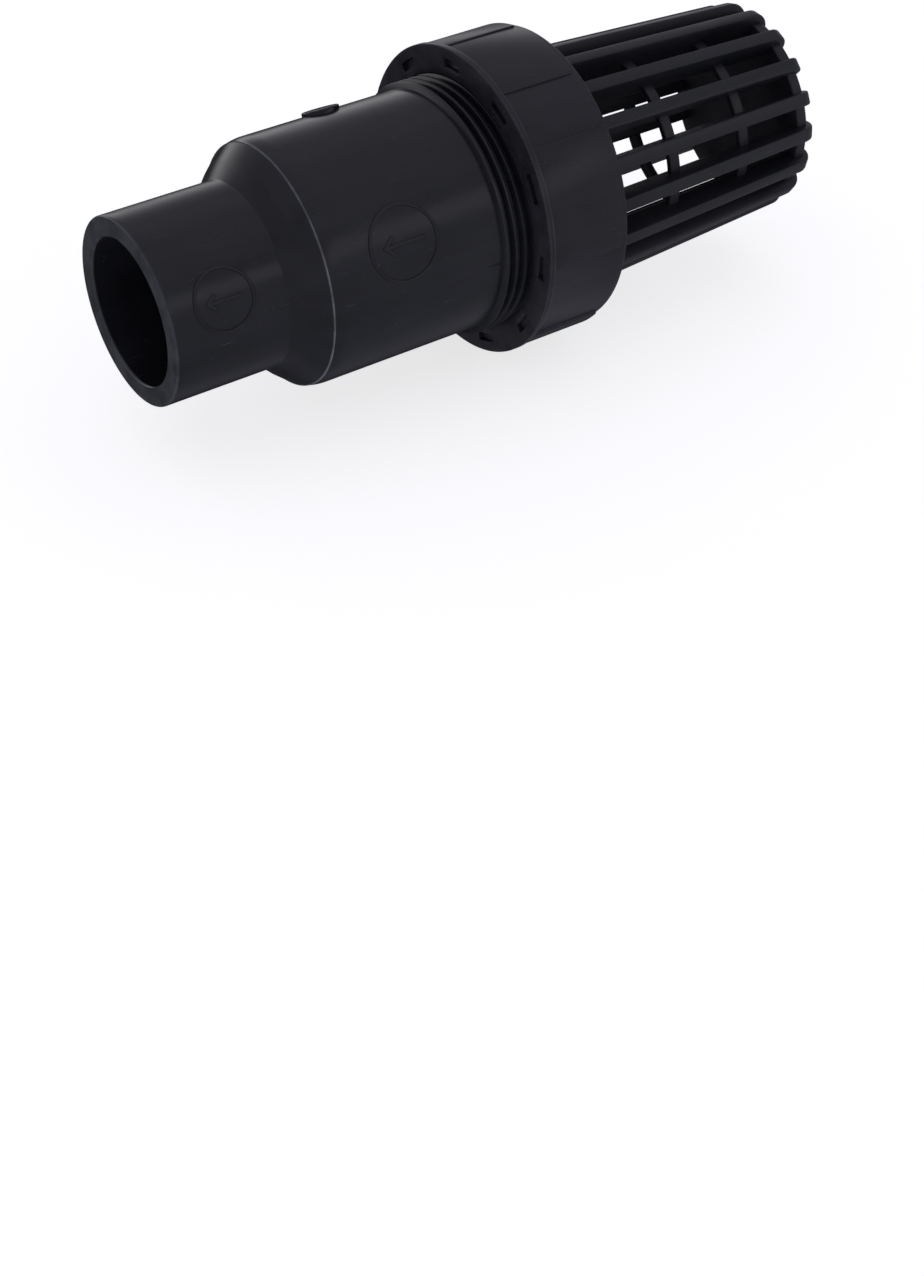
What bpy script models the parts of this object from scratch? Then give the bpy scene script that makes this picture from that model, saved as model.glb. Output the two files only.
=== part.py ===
"""Single-union foot valve with a solvent-cement socket, a sprung poppet check and a strainer.

All the turned parts share one axis.  They are modelled along local +Z, measured from the
socket's mouth, and three empties on that axis lay them down along world +X.
"""
import math

import bmesh
import bpy
from mathutils import Matrix

MM = 0.001

# Facets round a turned part, and round the strainer, whose facets fall in step with its ribs.
SEGMENTS = 40
STRAINER_SEGMENTS = 54
POPPET_SEGMENTS = 28
SMALL_SEGMENTS = 20

# Clearances between neighbouring pieces.
GAP = 0.3 * MM
STEM_CLEARANCE = 0.1 * MM
THREAD_RADIAL_CLEARANCE = 0.3 * MM
THREAD_FLANK_CLEARANCE = 0.2 * MM

# Socket for a pipe of 33.4 mm, cemented in.
BORE_RADIUS = 16.7 * MM
SOCKET_WALL = 5.0 * MM
SOCKET_DEPTH = 28.6 * MM
SOCKET_STRAIGHT = 28.2 * MM
MOUTH_CHAMFER = 0.8 * MM
STOP_HOLE_RADIUS = 14.8 * MM
STOP_THICKNESS = 3.0 * MM

# Shoulder and valve chamber.
SHOULDER_LENGTH = 7.0 * MM
SHOULDER_BLEND = 2.0 * MM
SHOULDER_BLEND_DROP = 0.4 * MM
CHAMBER_RADIUS = 28.75 * MM
CHAMBER_WALL = 4.15 * MM
CHAMBER_END = 79.5 * MM
GATE_RADIUS = 4.4 * MM
GATE_HEIGHT = 0.8 * MM
GATE_ANGLE = -26.5
GATE_POSITION = 58.4 * MM
CHAMBER_FUNNEL = 8.5 * MM

# Union thread, right-handed.
PITCH = 2.5 * MM
THREAD_DEPTH = 1.5 * MM
THREAD_ROOT_DROP = 0.1 * MM
TOOTH_BASE_WIDTH = 1.8 * MM
TOOTH_CREST_WIDTH = 0.7 * MM
THREAD_LENGTH = 21.5 * MM
THREAD_SINK = 0.4 * MM
THREAD_LEAD_IN = 0.05 * MM
THREAD_ANGLE = 117.0
NUT_THREAD_SPARE = 2

# Union nut.
NUT_START = 87.0 * MM
NUT_WALL = 6.45 * MM
NUT_RIM_WIDTH = 1.6 * MM
NUT_GRIP_DROP = 1.0 * MM
NUT_PAD_DROP = 0.3 * MM
NUT_LIP_THICKNESS = 4.1 * MM
NUT_CHAMFER = 0.6 * MM
NUT_RELIEF = 0.3 * MM
GRIP_STEP = 0.3 * MM
GRIP_SETBACK = 2.0 * MM
GRIP_ROOT = 1.0 * MM
GRIP_CENTRE = 58.7
GRIP_BAND = (11.2, 33.5)
GRIP_PAD = (70.5, 109.5)
POCKETS = 11
POCKET_PHASE = -4.5
POCKET_ARC = 13.5
POCKET_DEPTH = 6.0 * MM
POCKET_WALL = 1.9 * MM
CUTTER_OVERRUN = 1.0 * MM

# Seat carrier, clamped between the body's end and the nut's lip.
FLANGE_THICKNESS = 4.0 * MM
FLANGE_CLEARANCE = 0.45 * MM
SPIGOT_LENGTH = 16.0 * MM
SEAT_BORE_RADIUS = 16.5 * MM
SEAT_WEB = 4.0 * MM
SEAT_LIP_HEIGHT = 1.0 * MM
SEAT_LIP_INNER = 1.1 * MM
SEAT_LIP_WIDTH = 1.4 * MM
SEAT_LIP_CHAMFER = 0.4 * MM
INLET_BORE_RADIUS = 20.5 * MM
INLET_SPIGOT_WALL = 3.5 * MM
INLET_SPIGOT_LENGTH = 6.0 * MM
RING_SECTION = 1.7 * MM
RING_SEAT_FROM_FLANGE = 5.0 * MM
HUB_RADIUS = 5.8 * MM
HUB_LENGTH = 7.5 * MM
HUB_FROM_SEAT = 2.6 * MM
ARMS = 4
ARM_WIDTH = 2.4 * MM
ARM_HEIGHT = 5.5 * MM
ARM_SETBACK = 0.4 * MM
ARM_PHASE = 45.0

# Poppet and what rides on its stem.
POPPET_RADIUS = 20.0 * MM
POPPET_FLANGE = 3.0 * MM
DOME_STEPS = ((16.5, 2.2), (12.9, 2.2), (9.0, 5.2), (8.4, 6.6), (5.8, 8.2), (5.2, 9.4))
NUB_RADIUS = 2.6 * MM
NUB_HEIGHT = 11.6 * MM
NUB_TIP = (0.5, 0.6)
NUB_ROUNDING = 1.8 * MM
POPPET_CHAMFER = 1.0 * MM
SEAL_THICKNESS = 2.5 * MM
SEAL_OVERHANG = 0.4 * MM
SEAL_HOLE_RADIUS = 8.5 * MM
RETAINER_RADIUS = 12.0 * MM
RETAINER_THICKNESS = 1.6 * MM
STEM_RADIUS = 3.0 * MM
SPRING_LENGTH = 11.6 * MM
SPRING_WIRE = 0.5 * MM
SPRING_MEAN_RADIUS = 4.6 * MM
SPRING_COILS = 5
SPRING_FACETS = 14
WASHER_RADIUS = 6.0 * MM
WASHER_THICKNESS = 1.0 * MM
CLIP_RADIUS = 4.6 * MM
CLIP_THICKNESS = 0.8 * MM
CLIP_GROOVE_DEPTH = 0.7 * MM
CLIP_SPAN = (-60.0, 240.0)
STEM_TAIL = 1.4 * MM
STEM_CHAMFER = 0.6 * MM

# Strainer basket.
SLEEVE_WALL = 2.0 * MM
COLLAR_THICKNESS = 3.2 * MM
STRAINER_LENGTH = 66.6 * MM
STRAINER_BASE_RADIUS = 29.0 * MM
STRAINER_TIP_RADIUS = 25.4 * MM
RIBS = 18
RIB_PHASE = 4.2
RIB_WIDTH = 3.3 * MM
RIB_DEPTH = 6.4 * MM
RIB_TIP_DEPTH = 5.2 * MM
RIB_TIP_ROUND = 3.8 * MM
HOOPS = (23.2, 45.2)
HOOP_WIDTH = 3.1 * MM
HOOP_RECESS = 3.3 * MM
HOOP_THICKNESS = 2.0 * MM
END_DISC_THICKNESS = 3.0 * MM
END_DISC_RECESS = 2.0 * MM
RIB_OVERRUN = 2.0 * MM

# Sizes that follow from the ones above.
SOCKET_RADIUS = BORE_RADIUS + SOCKET_WALL
CHAMBER_BORE = CHAMBER_RADIUS - CHAMBER_WALL
SHOULDER_END = SOCKET_STRAIGHT + SHOULDER_LENGTH
THREAD_ROOT = CHAMBER_RADIUS - THREAD_ROOT_DROP
THREAD_CREST = THREAD_ROOT + THREAD_DEPTH
BODY_END = CHAMBER_END + THREAD_LENGTH
THREAD_START = CHAMBER_END + 0.5 * TOOTH_BASE_WIDTH + THREAD_LEAD_IN
THREAD_TURNS = int((THREAD_LENGTH - TOOTH_BASE_WIDTH) / PITCH)
NUT_MINOR = THREAD_ROOT + THREAD_RADIAL_CLEARANCE
NUT_MAJOR = THREAD_CREST + THREAD_RADIAL_CLEARANCE
NUT_CAVITY = NUT_MAJOR + NUT_RELIEF
NUT_RADIUS = NUT_MAJOR + NUT_WALL
FLANGE_START = BODY_END + GAP
FLANGE_END = FLANGE_START + FLANGE_THICKNESS
FLANGE_RADIUS = NUT_MINOR - FLANGE_CLEARANCE
SPIGOT_START = FLANGE_START - SPIGOT_LENGTH
SPIGOT_RADIUS = CHAMBER_BORE - GAP
SEAT_FACE = SPIGOT_START - SEAT_LIP_HEIGHT
INLET_SPIGOT_RADIUS = INLET_BORE_RADIUS + INLET_SPIGOT_WALL
SLEEVE_RADIUS = INLET_SPIGOT_RADIUS + GAP + SLEEVE_WALL
NUT_HOLE = SLEEVE_RADIUS + GAP
NUT_END = FLANGE_END + GAP + NUT_LIP_THICKNESS
STRAINER_START = NUT_END + GAP
STRAINER_END = STRAINER_START + STRAINER_LENGTH
HUB_START = SPIGOT_START + HUB_FROM_SEAT
HUB_END = HUB_START + HUB_LENGTH
SEAL_END = SEAT_FACE - GAP
SEAL_START = SEAL_END - SEAL_THICKNESS
POPPET_BACK = SEAL_START - GAP
POPPET_FRONT = POPPET_BACK - POPPET_FLANGE
RETAINER_START = SEAL_END + GAP
SPRING_START = HUB_END + GAP
SPRING_END = SPRING_START + SPRING_LENGTH
WASHER_START = SPRING_END + GAP
CLIP_START = WASHER_START + WASHER_THICKNESS + GAP
STEM_END = CLIP_START + CLIP_THICKNESS + GAP + STEM_TAIL


def clear_scene():
    for obj in list(bpy.data.objects):
        bpy.data.objects.remove(obj, do_unlink=True)


def new_collection(name):
    collection = bpy.data.collections.new(name)
    bpy.context.scene.collection.children.link(collection)
    return collection


def new_material(name, colour, roughness, metallic=0.0):
    material = bpy.data.materials.new(name)
    material.use_nodes = True
    shader = material.node_tree.nodes["Principled BSDF"]
    shader.inputs["Base Color"].default_value = (*colour, 1.0)
    shader.inputs["Roughness"].default_value = roughness
    shader.inputs["Metallic"].default_value = metallic
    return material


def add_object(name, mesh, collection):
    obj = bpy.data.objects.new(name, mesh)
    collection.objects.link(obj)
    return obj


def tidy_mesh(mesh):
    """Weld the seam, close any open end and turn every face outwards."""
    bm = bmesh.new()
    bm.from_mesh(mesh)
    bmesh.ops.remove_doubles(bm, verts=bm.verts, dist=0.001 * MM)
    bmesh.ops.holes_fill(bm, edges=[e for e in bm.edges if e.is_boundary])
    bmesh.ops.recalc_face_normals(bm, faces=bm.faces)
    bm.to_mesh(mesh)
    bm.free()


def screwed(name, points, steps, angle=360.0, start=0.0, rise=0.0, turns=1, closed=True):
    """Sweep (z, r) points about local Z: a turned ring, a sector of one, or a helix."""
    mesh = bpy.data.meshes.new(name)
    turn = math.radians(start)
    verts = [(r * math.cos(turn), r * math.sin(turn), z) for z, r in points]
    edges = [(i, i + 1) for i in range(len(points) - 1)]
    if closed:
        edges.append((len(points) - 1, 0))
    mesh.from_pydata(verts, edges, [])
    obj = add_object(name, mesh, bpy.context.scene.collection)
    screw = obj.modifiers.new("screw", "SCREW")
    screw.axis = "Z"
    screw.angle = math.radians(angle)
    screw.screw_offset = rise
    screw.iterations = turns
    screw.steps = steps
    screw.render_steps = steps
    screw.use_merge_vertices = True
    screw.merge_threshold = 0.001 * MM
    evaluated = obj.evaluated_get(bpy.context.evaluated_depsgraph_get())
    swept = bpy.data.meshes.new_from_object(evaluated)
    bpy.data.objects.remove(obj, do_unlink=True)
    tidy_mesh(swept)
    swept.name = name
    return swept


def turned(name, points, steps=SEGMENTS):
    """A ring or tube whose closed outline is given as (z, r) points."""
    return screwed(name, points, steps)


def solid_turned(name, points, steps=SEGMENTS):
    """A turned solid whose outline starts and ends on the axis."""
    return screwed(name, points, steps, closed=False)


def sector(name, low, high, inner, outer, start, end, steps):
    points = [(low, inner), (high, inner), (high, outer), (low, outer)]
    return screwed(name, points, steps, angle=end - start, start=start)


def thread_ridge(name, first, turns, base_radius, crest_radius, extra=0.0):
    """One helical tooth; extra widens both flanks, which makes the cutter of the nut's thread."""
    slope = 0.5 * (TOOTH_BASE_WIDTH - TOOTH_CREST_WIDTH) / THREAD_DEPTH

    def half_width(radius):
        return 0.5 * TOOTH_CREST_WIDTH + slope * (THREAD_CREST - radius) + extra

    points = []
    for radius, side in ((base_radius, -1), (base_radius, 1), (crest_radius, 1), (crest_radius, -1)):
        points.append((first + side * half_width(radius), radius))
    return screwed(name, points, SEGMENTS, start=facing(THREAD_ANGLE), rise=PITCH, turns=turns)


def merge_meshes(name, meshes):
    """Put several meshes into one, each still its own body."""
    bm = bmesh.new()
    for mesh in meshes:
        bm.from_mesh(mesh)
    merged = bpy.data.meshes.new(name)
    bm.to_mesh(merged)
    bm.free()
    return merged


def spun_copies(name, mesh, count, phase=0.0):
    """Copies of a mesh turned about local Z at equal steps."""
    bm = bmesh.new()
    for i in range(count):
        copy = mesh.copy()
        copy.transform(Matrix.Rotation(math.radians(phase + 360.0 * i / count), 4, "Z"))
        bm.from_mesh(copy)
    ring = bpy.data.meshes.new(name)
    bm.to_mesh(ring)
    bm.free()
    return ring


def facing(angle):
    """Local angle about Z of a place given in degrees from the top, towards world -Y."""
    return angle + 180.0


def combine(obj, mesh, operation, cutters):
    """Boolean one mesh into an object with a live modifier."""
    guide = add_object(mesh.name, mesh, cutters)
    guide.parent = obj.parent
    guide.display_type = "WIRE"
    guide.hide_render = True
    modifier = obj.modifiers.new(mesh.name, "BOOLEAN")
    modifier.operation = operation
    modifier.solver = "EXACT"
    modifier.object = guide


def arc(centre_z, centre_r, radius, first, last, count):
    """Points on a circle in the (z, r) plane, angles in degrees from +r towards +z."""
    points = []
    for i in range(count + 1):
        turn = math.radians(first + (last - first) * i / count)
        points.append((centre_z + radius * math.sin(turn), centre_r + radius * math.cos(turn)))
    return points


def box_mesh(name, low, high):
    bm = bmesh.new()
    bmesh.ops.create_cube(bm, size=1.0)
    for vert in bm.verts:
        vert.co = [low[k] + (vert.co[k] + 0.5) * (high[k] - low[k]) for k in range(3)]
    mesh = bpy.data.meshes.new(name)
    bm.to_mesh(mesh)
    bm.free()
    return mesh


def make_body(collection, cutters, empty):
    outside = [(0.0, SOCKET_RADIUS - MOUTH_CHAMFER), (MOUTH_CHAMFER, SOCKET_RADIUS)]
    outside.append((SOCKET_STRAIGHT, SOCKET_RADIUS))
    outside.append((SHOULDER_END, CHAMBER_RADIUS - SHOULDER_BLEND_DROP))
    outside.append((SHOULDER_END + SHOULDER_BLEND, CHAMBER_RADIUS))
    outside += [(CHAMBER_END, CHAMBER_RADIUS), (CHAMBER_END, THREAD_ROOT), (BODY_END, THREAD_ROOT)]
    inside = [(BODY_END, CHAMBER_BORE), (SHOULDER_END + CHAMBER_FUNNEL, CHAMBER_BORE)]
    inside.append((SOCKET_DEPTH + STOP_THICKNESS, STOP_HOLE_RADIUS))
    inside += [(SOCKET_DEPTH, STOP_HOLE_RADIUS), (SOCKET_DEPTH, BORE_RADIUS)]
    inside += [(MOUTH_CHAMFER, BORE_RADIUS), (0.0, BORE_RADIUS + MOUTH_CHAMFER)]
    body = add_object("valve_body", turned("valve_body", outside + inside), collection)
    body.parent = empty
    ridge = thread_ridge("body_thread", THREAD_START, THREAD_TURNS, THREAD_ROOT - THREAD_SINK, THREAD_CREST)
    combine(body, ridge, "UNION", cutters)
    tilt = Matrix.Rotation(math.radians(facing(GATE_ANGLE)), 4, "Z")
    lie = Matrix.Rotation(math.radians(90.0), 4, "Y")
    root = CHAMBER_RADIUS - 0.5 * CHAMBER_WALL
    gate = solid_turned("gate_vestige", [(root, 0.0), (root, GATE_RADIUS),
                                         (CHAMBER_RADIUS + GATE_HEIGHT, GATE_RADIUS),
                                         (CHAMBER_RADIUS + GATE_HEIGHT, 0.0)], SMALL_SEGMENTS)
    gate.transform(Matrix.Translation((0.0, 0.0, GATE_POSITION)) @ tilt @ lie)
    combine(body, gate, "UNION", cutters)
    return body


def make_nut(collection, cutters, empty):
    drop = NUT_RADIUS - NUT_GRIP_DROP
    rim = NUT_START + NUT_RIM_WIDTH
    outline = [(NUT_START, NUT_RADIUS - NUT_CHAMFER), (NUT_START + NUT_CHAMFER, NUT_RADIUS)]
    outline += [(rim, NUT_RADIUS), (rim, drop), (NUT_END - NUT_CHAMFER, drop)]
    outline += [(NUT_END, drop - NUT_CHAMFER), (NUT_END, NUT_HOLE), (FLANGE_END + GAP, NUT_HOLE)]
    outline += [(FLANGE_END + GAP, NUT_CAVITY), (BODY_END, NUT_CAVITY), (BODY_END, NUT_MINOR)]
    outline += [(NUT_START + NUT_CAVITY - NUT_MINOR, NUT_MINOR), (NUT_START, NUT_CAVITY)]
    nut = add_object("union_nut", turned("union_nut", outline), collection)
    nut.parent = empty
    combine(nut, nut_grips(rim, drop), "UNION", cutters)
    skip = math.ceil((NUT_START - THREAD_START) / PITCH) - NUT_THREAD_SPARE
    turns = math.ceil((BODY_END - NUT_START) / PITCH) + NUT_THREAD_SPARE
    first = THREAD_START + skip * PITCH
    root = NUT_MINOR - THREAD_SINK
    cutter = thread_ridge("nut_thread", first, turns, root, NUT_MAJOR, THREAD_FLANK_CLEARANCE)
    combine(nut, cutter, "DIFFERENCE", cutters)
    combine(nut, nut_pockets(), "DIFFERENCE", cutters)
    return nut


def nut_grips(rim, drop):
    """Low bands and tall pads round the nut, alike on its two halves."""
    low = rim - 0.5 * NUT_RIM_WIDTH
    high = NUT_END - GRIP_SETBACK
    root = drop - GRIP_ROOT
    pieces = []
    for half in (0.0, 180.0):
        middle = facing(GRIP_CENTRE) + half
        for side in (-1, 1):
            first, last = sorted(middle + side * edge for edge in GRIP_BAND)
            pieces.append(sector("band", low, high, root, drop + GRIP_STEP, first, last, 3))
        first, last = (middle + edge for edge in GRIP_PAD)
        pieces.append(sector("pad", low, high, root, NUT_RADIUS - NUT_PAD_DROP, first, last, 5))
    return merge_meshes("nut_grips", pieces)


def nut_pockets():
    """Coring pockets in the nut's open face."""
    inner = NUT_MAJOR + POCKET_WALL
    outer = NUT_RADIUS - POCKET_WALL
    middle = facing(POCKET_PHASE)
    pocket = sector("pocket", NUT_START - CUTTER_OVERRUN, NUT_START + POCKET_DEPTH, inner, outer,
                    middle - 0.5 * POCKET_ARC, middle + 0.5 * POCKET_ARC, 2)
    return spun_copies("nut_pockets", pocket, POCKETS)


def make_carrier(collection, cutters, empty):
    lip_inner = SEAT_BORE_RADIUS + SEAT_LIP_INNER
    lip_outer = lip_inner + SEAT_LIP_WIDTH
    groove_end = FLANGE_START - RING_SEAT_FROM_FLANGE
    groove_start = groove_end - RING_SECTION - 2 * GAP
    groove_floor = SPIGOT_RADIUS - RING_SECTION
    outline = [(SPIGOT_START, SEAT_BORE_RADIUS), (SPIGOT_START, lip_inner)]
    outline += [(SEAT_FACE, lip_inner + SEAT_LIP_CHAMFER), (SEAT_FACE, lip_outer - SEAT_LIP_CHAMFER)]
    outline += [(SPIGOT_START, lip_outer), (SPIGOT_START, SPIGOT_RADIUS)]
    outline += [(groove_start, SPIGOT_RADIUS), (groove_start, groove_floor), (groove_end, groove_floor),
                (groove_end, SPIGOT_RADIUS), (FLANGE_START, SPIGOT_RADIUS)]
    outline += [(FLANGE_START, FLANGE_RADIUS), (FLANGE_END, FLANGE_RADIUS)]
    outline.append((FLANGE_END, INLET_SPIGOT_RADIUS))
    outline.append((FLANGE_END + INLET_SPIGOT_LENGTH, INLET_SPIGOT_RADIUS))
    outline.append((FLANGE_END + INLET_SPIGOT_LENGTH, INLET_BORE_RADIUS))
    outline += [(HUB_END, INLET_BORE_RADIUS), (SPIGOT_START + SEAT_WEB, SEAT_BORE_RADIUS)]
    carrier = add_object("seat_carrier", turned("seat_carrier", outline), collection)
    carrier.parent = empty
    reach = 0.5 * (INLET_BORE_RADIUS + groove_floor)
    arm = box_mesh("arm", (0.5 * HUB_RADIUS, -0.5 * ARM_WIDTH, HUB_END - ARM_HEIGHT - ARM_SETBACK),
                   (reach, 0.5 * ARM_WIDTH, HUB_END - ARM_SETBACK))
    combine(carrier, spun_copies("spider_arms", arm, ARMS, ARM_PHASE), "UNION", cutters)
    outline = [(HUB_START, 0.0), (HUB_START, HUB_RADIUS), (HUB_END, HUB_RADIUS), (HUB_END, 0.0)]
    hub = solid_turned("hub", outline, SMALL_SEGMENTS)
    combine(carrier, hub, "UNION", cutters)
    hole = STEM_RADIUS + STEM_CLEARANCE
    low = HUB_START - CUTTER_OVERRUN
    high = HUB_END + CUTTER_OVERRUN
    bore = solid_turned("hub_bore", [(low, 0.0), (low, hole), (high, hole), (high, 0.0)], SMALL_SEGMENTS)
    combine(carrier, bore, "DIFFERENCE", cutters)
    return carrier


def make_ring(collection, empty):
    """The O-ring, slightly flattened in its groove."""
    middle = FLANGE_START - RING_SEAT_FROM_FLANGE - 0.5 * RING_SECTION - GAP
    half = 0.5 * (RING_SECTION - 2 * GAP) + 0.1 * MM
    centre = SPIGOT_RADIUS - RING_SECTION + GAP + half
    section = arc(middle, centre, half, 0.0, 315.0, 7)
    ring = add_object("spigot_o_ring", turned("spigot_o_ring", section), collection)
    ring.parent = empty
    return ring


def make_poppet(collection, empty):
    top = POPPET_FRONT - NUB_HEIGHT
    outline = [(top, 0.0), (top + NUB_TIP[0] * MM, NUB_TIP[1] * NUB_RADIUS)]
    outline.append((top + NUB_ROUNDING, NUB_RADIUS))
    for radius, height in reversed(DOME_STEPS):
        outline.append((POPPET_FRONT - height * MM, radius * MM))
    outline.append((POPPET_FRONT, POPPET_RADIUS - POPPET_CHAMFER))
    outline += [(POPPET_FRONT + POPPET_CHAMFER, POPPET_RADIUS), (POPPET_BACK, POPPET_RADIUS)]
    boss = SEAL_HOLE_RADIUS - GAP
    outline += [(POPPET_BACK, boss), (SEAL_END, boss), (SEAL_END, STEM_RADIUS)]
    neck = STEM_RADIUS - CLIP_GROOVE_DEPTH
    low = CLIP_START - 0.5 * GAP
    high = CLIP_START + CLIP_THICKNESS + 0.5 * GAP
    outline += [(low, STEM_RADIUS), (low, neck), (high, neck), (high, STEM_RADIUS)]
    outline += [(STEM_END - STEM_CHAMFER, STEM_RADIUS), (STEM_END, STEM_RADIUS - STEM_CHAMFER)]
    outline.append((STEM_END, 0.0))
    poppet = add_object("poppet", solid_turned("poppet", outline, POPPET_SEGMENTS), collection)
    poppet.parent = empty
    return poppet


def ring_outline(start, thickness, inner, outer):
    return [(start, inner), (start, outer), (start + thickness, outer), (start + thickness, inner)]


def make_stem_pieces(collection, empty):
    seal = turned("poppet_seal", ring_outline(SEAL_START, SEAL_THICKNESS, SEAL_HOLE_RADIUS,
                                              POPPET_RADIUS - SEAL_OVERHANG), POPPET_SEGMENTS)
    retainer = turned("seal_retainer", ring_outline(RETAINER_START, RETAINER_THICKNESS, STEM_RADIUS + GAP,
                                                    RETAINER_RADIUS), POPPET_SEGMENTS)
    washer = turned("spring_washer", ring_outline(WASHER_START, WASHER_THICKNESS, STEM_RADIUS + GAP,
                                                  WASHER_RADIUS), SMALL_SEGMENTS)
    inner = STEM_RADIUS - CLIP_GROOVE_DEPTH + GAP
    clip = sector("stem_clip", CLIP_START, CLIP_START + CLIP_THICKNESS, inner, CLIP_RADIUS, *CLIP_SPAN,
                  SMALL_SEGMENTS)
    pieces = []
    for name, mesh in (("poppet_seal", seal), ("seal_retainer", retainer), ("spring_washer", washer),
                       ("stem_clip", clip)):
        piece = add_object(name, mesh, collection)
        piece.parent = empty
        pieces.append(piece)
    return pieces


def make_spring(collection, empty):
    curve = bpy.data.curves.new("return_spring", "CURVE")
    curve.dimensions = "3D"
    curve.bevel_depth = 0.5 * SPRING_WIRE
    curve.bevel_resolution = 2
    curve.use_fill_caps = True
    count = SPRING_COILS * SPRING_FACETS
    spline = curve.splines.new("POLY")
    spline.points.add(count)
    low = SPRING_START + SPRING_WIRE
    travel = SPRING_LENGTH - 2 * SPRING_WIRE
    for i in range(count + 1):
        turn = 2 * math.pi * i / SPRING_FACETS
        across = (SPRING_MEAN_RADIUS * math.cos(turn), SPRING_MEAN_RADIUS * math.sin(turn))
        spline.points[i].co = (*across, low + travel * i / count, 1.0)
    spring = bpy.data.objects.new("return_spring", curve)
    collection.objects.link(spring)
    spring.parent = empty
    return spring


def strainer_radius(z):
    """Outer radius of the ribs, which taper evenly from the collar to the tip."""
    share = (z - STRAINER_START) / STRAINER_LENGTH
    return STRAINER_BASE_RADIUS + share * (STRAINER_TIP_RADIUS - STRAINER_BASE_RADIUS)


def rib_mesh():
    """One rib: its side outline, given its width by an extrusion."""
    low = STRAINER_START + 0.5 * COLLAR_THICKNESS
    high = STRAINER_END
    outline = [(low, strainer_radius(low) - RIB_DEPTH), (low, strainer_radius(low))]
    rounding = RIB_TIP_ROUND
    outline += [(high - rounding, strainer_radius(high - rounding))]
    outline += arc(high - rounding, strainer_radius(high) - rounding, rounding, 22.5, 90.0, 3)
    outline += [(high, strainer_radius(high) - RIB_TIP_DEPTH)]
    bm = bmesh.new()
    verts = [bm.verts.new((r, -0.5 * RIB_WIDTH, z)) for z, r in outline]
    face = bm.faces.new(verts)
    grown = bmesh.ops.extrude_face_region(bm, geom=[face])
    moved = [v for v in grown["geom"] if isinstance(v, bmesh.types.BMVert)]
    bmesh.ops.translate(bm, verts=moved, vec=(0.0, RIB_WIDTH, 0.0))
    bmesh.ops.recalc_face_normals(bm, faces=bm.faces)
    mesh = bpy.data.meshes.new("rib")
    bm.to_mesh(mesh)
    bm.free()
    return mesh


def make_strainer(collection, cutters, empty):
    sleeve_bore = INLET_SPIGOT_RADIUS + GAP
    sleeve_start = FLANGE_END + GAP
    collar_end = STRAINER_START + COLLAR_THICKNESS
    outline = [(sleeve_start, sleeve_bore), (sleeve_start, SLEEVE_RADIUS), (STRAINER_START, SLEEVE_RADIUS)]
    outline += [(STRAINER_START, STRAINER_BASE_RADIUS), (collar_end, strainer_radius(collar_end)),
                (collar_end, sleeve_bore)]
    collar = turned("strainer_basket", outline, STRAINER_SEGMENTS)
    strainer = add_object("strainer_basket", collar, collection)
    strainer.parent = empty
    rings = []
    for place in HOOPS:
        middle = STRAINER_START + place * MM
        low = middle - 0.5 * HOOP_WIDTH
        outer = strainer_radius(middle) - HOOP_RECESS
        section = ring_outline(low, HOOP_WIDTH, outer - HOOP_THICKNESS, outer)
        rings.append(turned("hoop", section, STRAINER_SEGMENTS))
    disc_end = STRAINER_END - RIB_OVERRUN
    disc_radius = strainer_radius(disc_end) - END_DISC_RECESS
    disc_start = disc_end - END_DISC_THICKNESS
    rings.append(solid_turned("end_disc", [(disc_start, 0.0), (disc_start, disc_radius),
                                           (disc_end, disc_radius), (disc_end, 0.0)], STRAINER_SEGMENTS))
    ribs = spun_copies("ribs", rib_mesh(), RIBS, facing(RIB_PHASE))
    combine(strainer, ribs, "UNION", cutters)
    combine(strainer, merge_meshes("strainer_rings", rings), "UNION", cutters)
    return strainer


def axis_empty(name, collection):
    """An empty on the valve's axis, which lays local +Z along world +X above the ground."""
    empty = bpy.data.objects.new(name, None)
    empty.rotation_euler = (0.0, math.radians(90.0), 0.0)
    empty.location = (-0.5 * STRAINER_END, 0.0, NUT_RADIUS)
    collection.objects.link(empty)
    return empty


def finish(obj, material):
    if obj.type == "MESH":
        obj.data.materials.clear()
        obj.data.materials.append(material)
        obj.data.shade_smooth()
        obj.data.set_sharp_from_angle(angle=math.radians(35.0))
    else:
        obj.data.materials.append(material)


def build():
    clear_scene()
    parts = new_collection("foot_valve")
    cutters = new_collection("cutters")
    fixed = axis_empty("body_axis", parts)
    moving = axis_empty("inlet_axis", parts)
    lifting = axis_empty("poppet_axis", parts)

    charcoal = (0.016, 0.017, 0.020)
    body_plastic = new_material("body_plastic", charcoal, 0.42)
    nut_plastic = new_material("nut_plastic", charcoal, 0.40)
    strainer_plastic = new_material("strainer_plastic", charcoal, 0.45)
    carrier_plastic = new_material("carrier_plastic", charcoal, 0.45)
    poppet_plastic = new_material("poppet_plastic", charcoal, 0.35)
    rubber = new_material("seal_rubber", (0.012, 0.012, 0.013), 0.7)
    ring_rubber = new_material("ring_rubber", (0.012, 0.012, 0.013), 0.65)
    steel = new_material("spring_steel", (0.55, 0.55, 0.56), 0.3, 1.0)
    retainer_plastic = new_material("retainer_plastic", charcoal, 0.5)
    washer_steel = new_material("washer_steel", (0.55, 0.55, 0.56), 0.35, 1.0)
    clip_steel = new_material("clip_steel", (0.5, 0.5, 0.52), 0.3, 1.0)

    finish(make_body(parts, cutters, fixed), body_plastic)
    finish(make_nut(parts, cutters, moving), nut_plastic)
    finish(make_carrier(parts, cutters, moving), carrier_plastic)
    finish(make_ring(parts, moving), ring_rubber)
    finish(make_strainer(parts, cutters, moving), strainer_plastic)
    finish(make_poppet(parts, lifting), poppet_plastic)
    stem_finishes = (rubber, retainer_plastic, washer_steel, clip_steel)
    for piece, material in zip(make_stem_pieces(parts, lifting), stem_finishes):
        finish(piece, material)
    finish(make_spring(parts, moving), steel)


build()
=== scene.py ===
import math

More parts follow.
